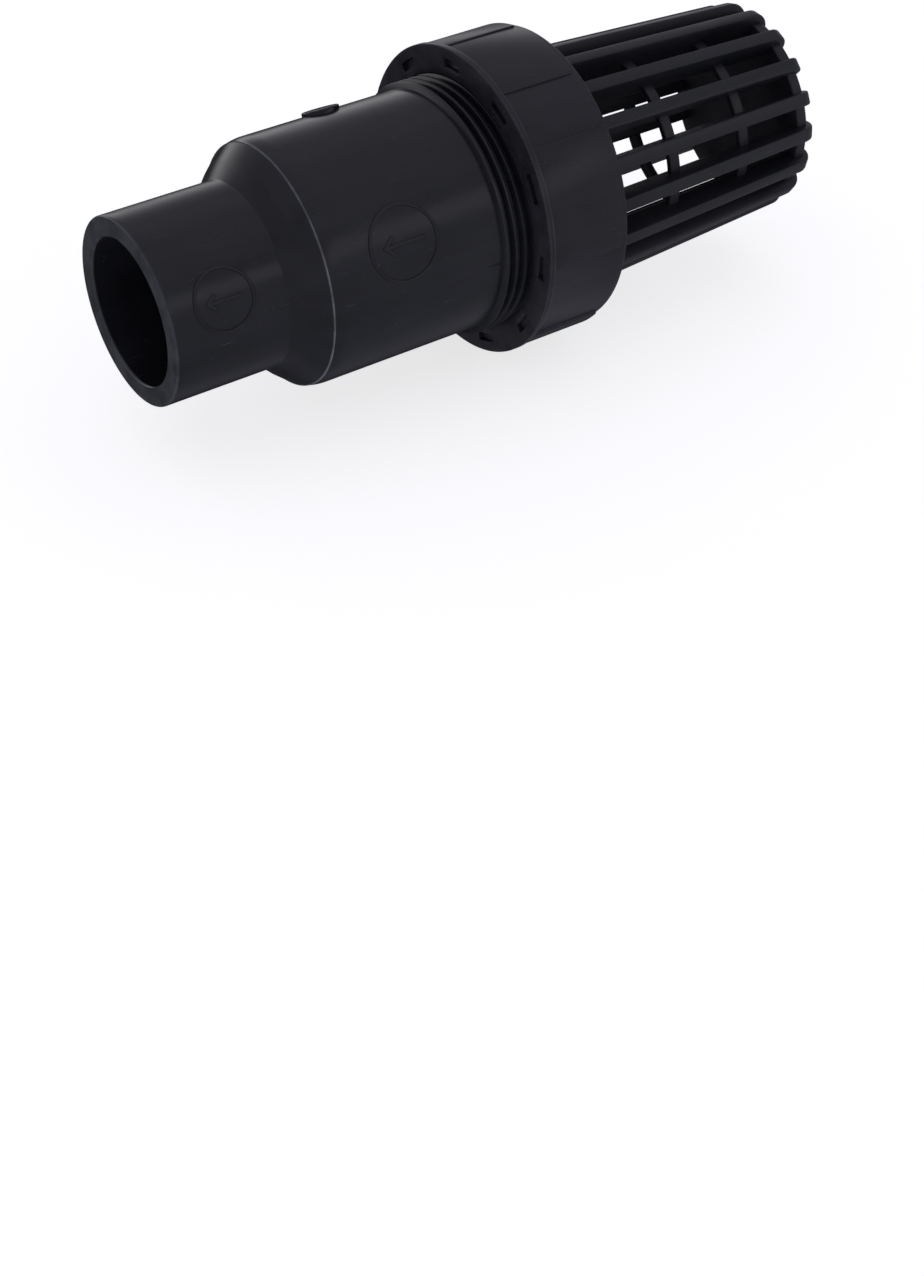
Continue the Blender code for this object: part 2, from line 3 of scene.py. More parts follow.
import bmesh
import bpy
from mathutils import Matrix, Vector


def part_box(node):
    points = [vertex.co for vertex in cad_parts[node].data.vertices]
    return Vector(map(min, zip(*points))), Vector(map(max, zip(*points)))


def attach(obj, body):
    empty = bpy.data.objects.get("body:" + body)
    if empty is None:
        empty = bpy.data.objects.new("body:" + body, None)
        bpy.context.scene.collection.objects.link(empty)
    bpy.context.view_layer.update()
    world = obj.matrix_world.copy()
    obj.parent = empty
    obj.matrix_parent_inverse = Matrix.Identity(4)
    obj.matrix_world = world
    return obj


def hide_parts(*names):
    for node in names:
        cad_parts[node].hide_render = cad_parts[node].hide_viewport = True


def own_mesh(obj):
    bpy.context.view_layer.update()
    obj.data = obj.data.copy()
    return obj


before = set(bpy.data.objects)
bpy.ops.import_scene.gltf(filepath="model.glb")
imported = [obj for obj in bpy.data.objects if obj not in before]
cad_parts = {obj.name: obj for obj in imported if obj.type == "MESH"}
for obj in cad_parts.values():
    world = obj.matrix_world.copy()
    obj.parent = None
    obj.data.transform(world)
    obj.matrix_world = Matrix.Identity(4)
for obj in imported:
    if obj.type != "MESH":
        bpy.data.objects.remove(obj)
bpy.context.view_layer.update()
print("frame loaded:", len(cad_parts), "nodes")

mm = 0.001
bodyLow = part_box("valve_body")[0]
nutLow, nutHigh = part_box("union_nut")
mouthX = bodyLow.x  # every length below is in mm from the socket's mouth
axisZ = 0.5 * (nutLow.z + nutHigh.z)
axisPoint = Vector((mouthX, 0, axisZ))
mergeGap = 0.002 * mm  # points nearer than this are one point
columns = 240  # faces round the large turned pieces
smallColumns = 128


def fromMouth(x):  # metres along X to mm from the mouth
    return (x - mouthX) / mm


def spot(x, radius, angle):  # a place on the valve, angle in degrees from the top towards the front
    turn = math.radians(angle)
    return Vector((mouthX + x * mm, -radius * mm * math.sin(turn), axisZ + radius * mm * math.cos(turn)))


def polar(point):  # the same three numbers, read back from a point
    y, z = point.y, point.z - axisZ
    return fromMouth(point.x), math.hypot(y, z) / mm, math.degrees(math.atan2(-y, z)) % 360


def turnMatrix(angle):  # turns a mesh round the valve's axis
    turn = Matrix.Rotation(math.radians(angle), 4, "X")
    return Matrix.Translation(axisPoint) @ turn @ Matrix.Translation(-axisPoint)


def pick(piece, kind, test):  # in edit mode, selects only what passes the test
    bpy.ops.mesh.select_mode(type=kind)
    bpy.ops.mesh.select_all(action="DESELECT")
    bm = bmesh.from_edit_mesh(piece.data)
    items = {"VERT": bm.verts, "EDGE": bm.edges, "FACE": bm.faces}[kind]
    for item in items:
        if test(item):
            item.select_set(True)
    bm.select_flush_mode()
    bmesh.update_edit_mesh(piece.data)


def edgeAt(x, radius, slack=0.02):  # a ring edge whose two ends lie at this place of the outline
    def test(edge):
        ends = [polar(v.co) for v in edge.verts]
        return all(abs(e[0] - x) < slack and abs(e[1] - radius) < slack for e in ends)
    return test


def arc(centreX, centreR, radius, first, last, steps):  # from the outward direction towards +X
    points = []
    for i in range(steps + 1):
        turn = math.radians(first + (last - first) * i / steps)
        points.append((centreX + radius * math.sin(turn), centreR + radius * math.cos(turn)))
    return points


def rounded(outline, steps=5):  # (x, radius, rounding) corners to a line with its corners rounded
    points = []
    count = len(outline)
    for i, (x, r, size) in enumerate(outline):
        here = Vector((x, r))
        before = Vector(outline[i - 1][:2]) - here
        after = Vector(outline[(i + 1) % count][:2]) - here
        if not size:
            points.append((x, r))
            continue
        half = 0.5 * before.angle(after)
        reach = size / math.tan(half)
        start = here + before.normalized() * reach
        middle = here + (before.normalized() + after.normalized()).normalized() * (size / math.sin(half))
        sweep = math.pi - 2 * half
        turnSign = 1 if before.x * after.y - before.y * after.x < 0 else -1
        arm = start - middle
        for k in range(steps + 1):
            turn = turnSign * sweep * k / steps
            c, s = math.cos(turn), math.sin(turn)
            points.append((middle.x + arm.x * c - arm.y * s, middle.y + arm.x * s + arm.y * c))
    return points


def activate(piece):
    bpy.ops.object.select_all(action="DESELECT")
    piece.select_set(True)
    bpy.context.view_layer.objects.active = piece


def startPiece(name, add, **settings):  # a new primitive at its size and place, in edit mode, all selected
    bpy.ops.object.select_all(action="DESELECT")
    add(**settings)
    piece = bpy.context.object
    piece.name = name
    piece.data.name = name
    bpy.ops.object.transform_apply(location=True, rotation=True, scale=True)
    bpy.ops.object.mode_set(mode="EDIT")
    bpy.ops.mesh.select_mode(type="VERT")
    bpy.ops.mesh.select_all(action="SELECT")
    return piece


def mergePoints():
    bpy.ops.mesh.select_all(action="SELECT")
    bpy.ops.mesh.remove_doubles(threshold=mergeGap)


def faceOutward():
    bpy.ops.mesh.select_all(action="SELECT")
    bpy.ops.mesh.normals_make_consistent(inside=False)


def drawLine(name, line):  # a wire drawn by extruding one point along (x, radius) places
    first = spot(line[0][0], line[0][1], 0)
    piece = startPiece(name, bpy.ops.mesh.primitive_plane_add, size=mm, location=first)
    bpy.ops.mesh.merge(type="CENTER")
    for (x0, r0), (x1, r1) in zip(line, line[1:]):
        move = ((x1 - x0) * mm, 0, (r1 - r0) * mm)
        bpy.ops.mesh.extrude_region_move(TRANSFORM_OT_translate={"value": move})
    return piece


def turned(name, line, columns, closed=True):  # the line spun round the valve's axis
    piece = drawLine(name, line + line[:1] if closed else line)
    bpy.ops.mesh.select_all(action="SELECT")
    bpy.ops.mesh.spin(steps=columns, angle=2 * math.pi, center=axisPoint, axis=(1, 0, 0))
    mergePoints()
    faceOutward()
    bpy.ops.object.mode_set(mode="OBJECT")
    return piece


def helix(name, line, turns, startAngle):  # a closed line swept along the thread by a Screw modifier
    piece = drawLine(name, line + line[:1])
    mergePoints()
    bpy.ops.object.mode_set(mode="OBJECT")
    piece.data.transform(turnMatrix(startAngle))
    piece.data.transform(Matrix.Translation(-axisPoint))
    screw = piece.modifiers.new("thread", "SCREW")
    screw.axis = "X"
    screw.angle = 2 * math.pi
    screw.screw_offset = threadShape["pitch"] * mm
    screw.iterations = turns
    screw.steps = screw.render_steps = columns
    screw.use_merge_vertices = True
    screw.merge_threshold = mergeGap
    bpy.ops.object.modifier_apply(modifier=screw.name)
    piece.data.transform(Matrix.Translation(axisPoint))
    bpy.ops.object.mode_set(mode="EDIT")
    bpy.ops.mesh.select_all(action="SELECT")
    bpy.ops.mesh.fill_holes(sides=0)
    faceOutward()
    bpy.ops.object.mode_set(mode="OBJECT")
    return piece


def bevelPicked(width, segments):
    bpy.ops.mesh.bevel(offset=width * mm, segments=segments, profile=0.5, affect="EDGES", clamp_overlap=False)


def softenEdges(piece, width, segments, angle=38):  # rounds every edge sharper than the angle
    bpy.ops.object.mode_set(mode="OBJECT")
    activate(piece)
    bevel = piece.modifiers.new("edges", "BEVEL")
    bevel.limit_method = "ANGLE"
    bevel.angle_limit = math.radians(angle)
    bevel.width = width * mm
    bevel.segments = segments
    bevel.use_clamp_overlap = False
    bpy.ops.object.modifier_apply(modifier=bevel.name)


def combine(piece, other, operation):
    activate(piece)
    cut = piece.modifiers.new(operation.lower(), "BOOLEAN")
    cut.operation = operation
    cut.solver = "EXACT"
    cut.object = other
    bpy.ops.object.modifier_apply(modifier=cut.name)
    bpy.data.objects.remove(other, do_unlink=True)


def joinPieces(name, pieces):
    activate(pieces[0])
    for piece in pieces:
        piece.select_set(True)
    bpy.ops.object.join()
    joined = bpy.context.object
    joined.name = name
    return joined


def finishPiece(piece, body, node, material, smoothAngle=32):  # node is None for an extra piece
    activate(piece)
    bpy.ops.object.shade_smooth_by_angle(angle=math.radians(smoothAngle))
    piece.data.materials.clear()
    piece.data.materials.append(material)
    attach(piece, body)
    if node:
        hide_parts(node)
    print("made", piece.name, len(piece.data.polygons), "faces")


def toLinear(hexColour):
    channels = [int(hexColour[i:i + 2], 16) / 255 for i in (1, 3, 5)]
    return [c / 12.92 if c <= 0.04045 else ((c + 0.055) / 1.055) ** 2.4 for c in channels] + [1]


def addNode(tree, kind, inputs=None, links=None, **options):
    node = tree.nodes.new(kind)
    for key, value in options.items():
        setattr(node, key, value)
    for key, value in (inputs or {}).items():
        node.inputs[key].default_value = value
    for key, (source, output) in (links or {}).items():
        tree.links.new(source.outputs[output], node.inputs[key])
    return node


def newMaterial(name):
    material = bpy.data.materials.new(name)
    material.use_nodes = True
    tree = material.node_tree
    return material, tree, tree.nodes["Principled BSDF"]


def perMetre(size):  # a noise scale whose grain is this many mm across
    return 1 / (size * mm)


def mouldedPlastic(name, look):
    # injection-moulded uPVC: carbon black in a hard resin gives a deep black with a satin skin, a faint
    # flow pattern along the mould and handling scuffs; the moulding grain is finer than it is drawn here
    material, tree, shader = newMaterial(name)
    shader.inputs["IOR"].default_value = look["ior"]
    shader.inputs["Specular IOR Level"].default_value = look["specular"]
    coords = addNode(tree, "ShaderNodeTexCoord")
    onPiece = {"Vector": (coords, "Object")}

    # two blacks, mixed by a cloud and by flow lines drawn out along the axis
    cloud = addNode(tree, "ShaderNodeTexNoise",
                    {"Scale": perMetre(look["cloudSize"]), "Detail": 4.0, "Roughness": 0.6}, onPiece)
    drawn = addNode(tree, "ShaderNodeMapping", {"Scale": (look["flowStretch"], 1.0, 1.0)}, onPiece)
    flow = addNode(tree, "ShaderNodeTexNoise",
                   {"Scale": perMetre(look["flowSize"]), "Detail": 3.0, "Roughness": 0.55},
                   {"Vector": (drawn, "Vector")})
    blend = addNode(tree, "ShaderNodeMath", links={0: (cloud, "Fac"), 1: (flow, "Fac")}, operation="ADD")
    tone = addNode(tree, "ShaderNodeMapRange", {"From Min": 0.75, "From Max": 1.25}, {"Value": (blend, 0)})
    base = addNode(tree, "ShaderNodeMix", links={0: (tone, 0)}, data_type="RGBA")
    base.inputs[6].default_value = toLinear(look["deep"])
    base.inputs[7].default_value = toLinear(look["pale"])

    # pale scuffs, long thin scratches and pale rings round the axis; the rings are partly rubbed wear and
    # partly a painted highlight and a painted reflection
    scuffNoise = addNode(tree, "ShaderNodeTexNoise",
                         {"Scale": perMetre(look["scuffSize"]), "Detail": 6.0, "Roughness": 0.75}, onPiece)
    scuffs = addNode(tree, "ShaderNodeMapRange",
                     {"From Min": look["scuffRange"][0], "From Max": look["scuffRange"][1],
                      "To Max": look["scuffStrength"]}, {"Value": (scuffNoise, "Fac")})
    stretch = addNode(tree, "ShaderNodeMapping",
                      {"Rotation": look["scratchTurn"], "Scale": (look["scratchStretch"], 1.0, 1.0)}, onPiece)
    lineNoise = addNode(tree, "ShaderNodeTexNoise", {"Scale": perMetre(look["scratchSize"]), "Detail": 2.0},
                        {"Vector": (stretch, "Vector")})
    scratches = addNode(tree, "ShaderNodeMapRange",
                        {"From Min": look["scratchRange"][0], "From Max": look["scratchRange"][1],
                         "To Max": look["scratchStrength"]}, {"Value": (lineNoise, "Fac")})
    marks = addNode(tree, "ShaderNodeMath", links={0: (scuffs, 0), 1: (scratches, 0)}, operation="MAXIMUM")
    along = addNode(tree, "ShaderNodeSeparateXYZ", links={0: (coords, "Object")})
    patchy = addNode(tree, "ShaderNodeMapRange",
                     {"From Min": 0.38, "From Max": 0.6, "To Min": look["wearAndHighlightLeast"]},
                     {"Value": (flow, "Fac")})
    # each pale ring mixes in the scuff colour: the same mix paints rubbed wear and painted highlights
    for middle, halfWidth, strength in look["wearAndHighlightRings"]:  # places and half widths in mm from the mouth
        offset = addNode(tree, "ShaderNodeMath", {1: mouthX + middle * mm}, {0: (along, "X")},
                         operation="SUBTRACT")
        away = addNode(tree, "ShaderNodeMath", links={0: (offset, 0)}, operation="ABSOLUTE")
        ring = addNode(tree, "ShaderNodeMapRange",
                       {"From Min": halfWidth * mm, "From Max": 0.4 * halfWidth * mm, "To Max": strength},
                       {"Value": (away, 0)})
        ringWearAndSheen = addNode(tree, "ShaderNodeMath", links={0: (ring, 0), 1: (patchy, 0)}, operation="MULTIPLY")
        marks = addNode(tree, "ShaderNodeMath", links={0: (marks, 0), 1: (ringWearAndSheen, 0)}, operation="MAXIMUM")
    scuffAndHighlightMix = addNode(tree, "ShaderNodeMix", links={0: (marks, 0), 6: (base, 2)}, data_type="RGBA")
    scuffAndHighlightMix.inputs[7].default_value = toLinear(look["scuffAndHighlightColour"])
    tree.links.new(scuffAndHighlightMix.outputs[2], shader.inputs["Base Color"])

    # rougher where it is scuffed
    rough = addNode(tree, "ShaderNodeMapRange",
                    {"From Min": 0.3, "From Max": 0.7, "To Min": look["roughness"][0],
                     "To Max": look["roughness"][1]}, {"Value": (cloud, "Fac")})
    roughWorn = addNode(tree, "ShaderNodeMath", links={0: (rough, 0), 1: (scuffs, 0)}, operation="ADD")
    tree.links.new(roughWorn.outputs[0], shader.inputs["Roughness"])

    # moulding grain, and the slow waves of a cooled wall
    grain = addNode(tree, "ShaderNodeTexNoise", {"Scale": perMetre(look["grainSize"]), "Detail": 2.0},
                    onPiece)
    grainBump = addNode(tree, "ShaderNodeBump", {"Strength": 1.0, "Distance": look["grainHeight"] * mm},
                        {"Height": (grain, "Fac")})
    wave = addNode(tree, "ShaderNodeTexNoise", {"Scale": perMetre(look["waveSize"]), "Detail": 1.0}, onPiece)
    waveBump = addNode(tree, "ShaderNodeBump", {"Strength": 1.0, "Distance": look["waveHeight"] * mm},
                       {"Height": (wave, "Fac"), "Normal": (grainBump, 0)})
    tree.links.new(waveBump.outputs[0], shader.inputs["Normal"])
    return material


# sizes and heights in mm, colours in sRGB
plasticLook = {
    # the scuff colour also paints the pale highlight rings
    "deep": "#18191e", "pale": "#202127", "scuffAndHighlightColour": "#9a9da4", "ior": 1.53, "specular": 0.5,
    "roughness": (0.17, 0.28), "cloudSize": 22, "flowSize": 5, "flowStretch": 0.12,
    "scuffSize": 2.6, "scuffRange": (0.66, 0.75), "scuffStrength": 0.16,
    "scratchSize": 0.45, "scratchRange": (0.71, 0.76), "scratchStrength": 0.08,
    "scratchTurn": (0.4, 0.7, 0.5), "scratchStretch": 0.06, "wearAndHighlightRings": (), "wearAndHighlightLeast": 0.55,
    "grainSize": 0.35, "grainHeight": 0.006, "waveSize": 7, "waveHeight": 0.05,
}
# body rings: at the mouth, rubbed wear that also paints the bright floor's reflection on the mouth face; at
# the parting line, 35.35 mm, a painted highlight
bodyLook = {**plasticLook, "wearAndHighlightRings": ((0.0, 0.6, 0.13), (35.35, 0.24, 0.5))}
# nut rings: pale rings at the face's outer edge and at the rim's step
nutLook = {**plasticLook, "deep": "#1c1c22", "pale": "#25252c", "roughness": (0.24, 0.36),
           "wearAndHighlightRings": ((87.1, 0.5, 0.04), (88.6, 0.4, 0.12))}
basketLook = {**plasticLook, "deep": "#1d1e23", "pale": "#27282e", "roughness": (0.3, 0.44)}
innerLook = {**plasticLook, "roughness": (0.18, 0.3)}
bodyPlastic = mouldedPlastic("moulded uPVC, body", bodyLook)
nutPlastic = mouldedPlastic("moulded uPVC, nut", nutLook)
basketPlastic = mouldedPlastic("moulded uPVC, strainer", basketLook)
innerPlastic = mouldedPlastic("moulded uPVC, inner parts", innerLook)


def sealRubber(name, look):
    # black EPDM, moulded: a fine matt skin with a little bloom; the skin is drawn coarser than it is
    material, tree, shader = newMaterial(name)
    shader.inputs["Specular IOR Level"].default_value = look["specular"]
    coords = addNode(tree, "ShaderNodeTexCoord")
    onPiece = {"Vector": (coords, "Object")}
    bloom = addNode(tree, "ShaderNodeTexNoise", {"Scale": perMetre(look["bloomSize"]), "Detail": 4.0},
                    onPiece)
    base = addNode(tree, "ShaderNodeMix", links={0: (bloom, "Fac")}, data_type="RGBA")
    base.inputs[6].default_value = toLinear(look["deep"])
    base.inputs[7].default_value = toLinear(look["pale"])
    tree.links.new(base.outputs[2], shader.inputs["Base Color"])
    rough = addNode(tree, "ShaderNodeMapRange",
                    {"To Min": look["roughness"][0], "To Max": look["roughness"][1]},
                    {"Value": (bloom, "Fac")})
    tree.links.new(rough.outputs[0], shader.inputs["Roughness"])
    skin = addNode(tree, "ShaderNodeTexNoise", {"Scale": perMetre(look["skinSize"]), "Detail": 2.0}, onPiece)
    bump = addNode(tree, "ShaderNodeBump", {"Strength": 1.0, "Distance": look["skinHeight"] * mm},
                   {"Height": (skin, "Fac")})
    tree.links.new(bump.outputs[0], shader.inputs["Normal"])
    return material


def drawnSteel(name, look):
    # stainless wire and pressings: bright, with fine lines along the draw, drawn coarser than they are
    material, tree, shader = newMaterial(name)
    shader.inputs["Metallic"].default_value = 1.0
    coords = addNode(tree, "ShaderNodeTexCoord")
    onPiece = {"Vector": (coords, "Object")}
    tint = addNode(tree, "ShaderNodeTexNoise", {"Scale": perMetre(look["tintSize"]), "Detail": 3.0}, onPiece)
    base = addNode(tree, "ShaderNodeMix", links={0: (tint, "Fac")}, data_type="RGBA")
    base.inputs[6].default_value = toLinear(look["deep"])
    base.inputs[7].default_value = toLinear(look["pale"])
    tree.links.new(base.outputs[2], shader.inputs["Base Color"])
    drawn = addNode(tree, "ShaderNodeMapping",
                    {"Scale": (1.0, look["lineStretch"], look["lineStretch"])}, onPiece)
    lines = addNode(tree, "ShaderNodeTexNoise", {"Scale": perMetre(look["lineSize"]), "Detail": 3.0},
                    {"Vector": (drawn, "Vector")})
    rough = addNode(tree, "ShaderNodeMapRange",
                    {"To Min": look["roughness"][0], "To Max": look["roughness"][1]},
                    {"Value": (lines, "Fac")})
    tree.links.new(rough.outputs[0], shader.inputs["Roughness"])
    bump = addNode(tree, "ShaderNodeBump", {"Strength": 1.0, "Distance": look["lineHeight"] * mm},
                   {"Height": (lines, "Fac")})
    tree.links.new(bump.outputs[0], shader.inputs["Normal"])
    return material


rubberLook = {"deep": "#121213", "pale": "#1d1d1e", "specular": 0.4, "roughness": (0.5, 0.68), "bloomSize": 4,
              "skinSize": 0.12, "skinHeight": 0.006}
steelLook = {"deep": "#b6b7b8", "pale": "#d2d2d1", "roughness": (0.18, 0.34), "tintSize": 3, "lineSize": 0.2,
             "lineStretch": 0.1, "lineHeight": 0.004}
rubber = sealRubber("black EPDM", rubberLook)
steel = drawnSteel("drawn stainless steel", steelLook)
print("materials made")

# the body: socket, shoulder, chamber and male thread in one moulding
bodyShape = {
    "socketRadius": 21.7, "boreRadius": 16.7, "boreFlare": 0.2, "mouthRound": 0.6,
    "socketDepth": 28.6, "stopRadius": 14.8, "stopThickness": 3.0, "funnelEnd": 43.7, "funnelRound": 3.0,
    "socketStraight": 28.2, "neckRound": 0.5, "shoulderLength": 7.0, "shoulderDrop": 0.7,
    "coneBulge": 0.3, "coneRound": 6, "blendLength": 3.6, "blendRadius": 11, "blendAngle": 15,
    "witnessRise": 0.05, "witnessStep": 0.2, "witnessWidth": 0.35, "witnessEnd": 0.22,
    "chamberRadius": 28.75, "chamberMiddle": 60, "chamberEnd": 79.5, "chamberBore": 24.6, "bodyEnd": 101.0,
    "threadRoot": 28.65, "threadCrest": 30.15, "threadSink": 0.5, "crestRound": 0.15,
    "gateX": 58.4, "gateAngle": -26.5, "gateRadius": 4.4, "gateHeight": 0.8, "gateRound": 0.35,
}
threadShape = {
    "pitch": 2.5, "baseWidth": 1.8, "crestWidth": 0.7, "crestX": 80.0, "crestAngle": 51, "turns": 8,
    "radialGap": 0.3, "flankGap": 0.2,
}


def shoulderLine(shape):  # a cone with a crisp foot, a parting line at its top and a blend to the chamber
    foot = shape["socketStraight"]
    top = foot + shape["shoulderLength"]
    crest = shape["chamberRadius"] - shape["shoulderDrop"]
    cone = rounded([(foot - 5, shape["socketRadius"], 0), (foot, shape["socketRadius"], shape["neckRound"]),
                    (0.5 * (foot + top), 0.5 * (shape["socketRadius"] + crest) + shape["coneBulge"],
                     shape["coneRound"]),
                    (top, crest, 0), (top, shape["socketRadius"], 0)])[1:-1]
    parting = top + shape["witnessRise"]
    witness = [(parting, crest + shape["witnessStep"]),
               (parting + shape["witnessWidth"], crest + shape["witnessEnd"])]
    blend = arc(top + shape["blendLength"], shape["chamberRadius"] - shape["blendRadius"],
                shape["blendRadius"], -shape["blendAngle"], 0, 6)
    return cone + witness + blend


def toothWidths(root, crest, extra):  # half the tooth's width at its root and at its crest
    full = bodyShape["threadCrest"]
    slope = 0.5 * (threadShape["baseWidth"] - threadShape["crestWidth"]) / (full - bodyShape["threadRoot"])
    halfTop = 0.5 * threadShape["crestWidth"] + extra
    return halfTop + slope * (full - root), halfTop + slope * (full - crest)


def makeBody(shape):
    stopEnd = shape["socketDepth"] + shape["stopThickness"]
    wallRadius = shape["socketRadius"] - 2
    outline = rounded([(0, wallRadius, 0), (0, shape["socketRadius"], shape["mouthRound"]),
                       (2, shape["socketRadius"], 0)])
    outline += shoulderLine(shape)
    outline += rounded([
        (shape["chamberMiddle"], shape["chamberRadius"], 0),
        (shape["chamberEnd"], shape["chamberRadius"], 0.08), (shape["chamberEnd"], shape["threadRoot"], 0),
        (shape["bodyEnd"], shape["threadRoot"], 0.6),
        (shape["bodyEnd"], shape["chamberBore"], 0.4),
        (shape["funnelEnd"], shape["chamberBore"], shape["funnelRound"]),
        (stopEnd, shape["stopRadius"] + 0.6, 0.4), (stopEnd, shape["stopRadius"], 0.3),
        (shape["socketDepth"], shape["stopRadius"], 0.4), (shape["socketDepth"], shape["boreRadius"], 0.5),
        (0, shape["boreRadius"] + shape["boreFlare"], 0.7), (0, wallRadius, 0)])[:-1]
    body = turned("valve_body_moulding", outline, columns)
    root, crest = shape["threadRoot"] - shape["threadSink"], shape["threadCrest"]
    halfRoot, halfCrest = toothWidths(root, crest, 0)
    startX = threadShape["crestX"] - 0.5 * threadShape["pitch"]
    tooth = rounded([(startX - halfRoot, root, 0), (startX - halfCrest, crest, shape["crestRound"]),
                     (startX + halfCrest, crest, shape["crestRound"]), (startX + halfRoot, root, 0)], 3)
    thread = helix("body_thread", tooth, threadShape["turns"], threadShape["crestAngle"] - 180)
    combine(body, thread, "UNION")
    combine(body, makeGate(shape), "UNION")
    return body


def makeGate(shape):  # the trimmed sprue, a low disc on the chamber's back
    tall = 0.5 * (shape["chamberRadius"] - shape["chamberBore"]) + shape["gateHeight"]
    place = spot(shape["gateX"], shape["chamberRadius"] + shape["gateHeight"] - 0.5 * tall, 0)
    gate = startPiece("gate", bpy.ops.mesh.primitive_cylinder_add, vertices=64,
                      radius=shape["gateRadius"] * mm, depth=tall * mm, location=place)
    top = place.z + 0.5 * tall * mm
    pick(gate, "EDGE", lambda e: all(abs(v.co.z - top) < 0.01 * mm for v in e.verts))
    bevelPicked(shape["gateRound"], 3)
    bpy.ops.object.mode_set(mode="OBJECT")
    gate.data.transform(turnMatrix(shape["gateAngle"]))
    return gate


body = makeBody(bodyShape)
finishPiece(body, "outlet_half", "valve_body", bodyPlastic)

# two moulded marks, raised from the body
markShape = {
    "line": 0.4, "ringFlat": 0.85, "barWide": 1.3, "barFlat": 0.8,
    "arrowReach": 0.58, "headShare": 0.6, "headAngle": 40,
    "socketRing": {"x": 13.3, "angle": 66.6, "radius": 7.0, "on": 21.7},
    "chamberRing": {"x": 54.9, "angle": 65.8, "radius": 8.5, "on": 28.75},
}


def wrapOnto(piece, place):  # a flat mark, drawn at the origin in X and Y, laid on the turned surface
    for vert in piece.data.vertices:
        x, y, z = vert.co / mm
        vert.co = spot(place["x"] + x, place["on"] + z, place["angle"] + math.degrees(y / place["on"]))


def markRing(name, place, shape):
    ring = startPiece(name, bpy.ops.mesh.primitive_torus_add, major_radius=place["radius"] * mm,
                      minor_radius=shape["line"] * mm, major_segments=96, minor_segments=12)
    bpy.ops.transform.resize(value=(1, 1, shape["ringFlat"]))
    bpy.ops.object.mode_set(mode="OBJECT")
    wrapOnto(ring, place)
    return ring


def markBar(name, place, shape, start, length, turn):  # a short raised stroke with round ends
    bar = startPiece(name, bpy.ops.mesh.primitive_uv_sphere_add, segments=16, ring_count=8,
                     radius=shape["line"] * mm)
    bpy.ops.transform.resize(value=(shape["barWide"], shape["barWide"], shape["barFlat"]))
    pick(bar, "VERT", lambda v: v.co.x > 0.01 * mm)
    bpy.ops.transform.translate(value=(length * mm, 0, 0))
    bpy.ops.mesh.select_all(action="SELECT")
    bpy.ops.mesh.subdivide(number_cuts=1)
    bpy.ops.mesh.select_all(action="SELECT")
    bpy.ops.transform.rotate(value=-math.radians(turn), orient_axis="Z", center_override=(0, 0, 0))
    bpy.ops.transform.translate(value=(start * mm, 0, 0))
    bpy.ops.object.mode_set(mode="OBJECT")
    wrapOnto(bar, place)
    return bar


def makeMarks(shape):  # plain rings, each with a bare arrow that shows the flow
    pieces = []
    for name in ("socketRing", "chamberRing"):
        place = shape[name]
        reach = shape["arrowReach"] * place["radius"]
        head = shape["headShare"] * reach
        pieces.append(markRing(name, place, shape))
        for length, turn in ((2 * reach, 0), (head, shape["headAngle"]), (head, -shape["headAngle"])):
            pieces.append(markBar(name + "Bar", place, shape, -reach, length, turn))
    marks = joinPieces("moulded_marks", pieces)
    bpy.ops.object.mode_set(mode="EDIT")
    faceOutward()
    bpy.ops.object.mode_set(mode="OBJECT")
    return marks


finishPiece(makeMarks(markShape), "outlet_half", None, bodyPlastic)

# the union nut, with stepped grips and pockets in its open face
nutShape = {
    "start": 87.0, "end": 109.7, "radius": 36.9, "rimWidth": 1.6, "rimRound": 0.22, "gripDrop": 1.0,
    "endRound": 0.6, "holeRadius": 26.6, "lipStart": 105.6, "cavityRadius": 30.75, "minorRadius": 28.95,
    "mouthRadius": 30.5, "threadEnd": 101.0, "padEnd": 107.7, "pocketInner": 32.3, "pocketOuter": 34.4,
    "pocketDepth": 1.3, "pockets": 11, "pocketPhase": -4.5, "pocketArc": 11.0,
    "threadTurns": 8, "threadStart": 1.5, "threadSink": 0.4,
    "gripCentre": 58.7, "bands": ((-11.25, 33.75), (-70.5, -33.75)), "bandRise": 0.42,
    "pad": (70.5, 109.5), "padRise": 0.7, "edgeRound": 0.09,
}


def angleFrom(angle, centre):  # signed difference in degrees
    return (angle - centre + 180) % 360 - 180


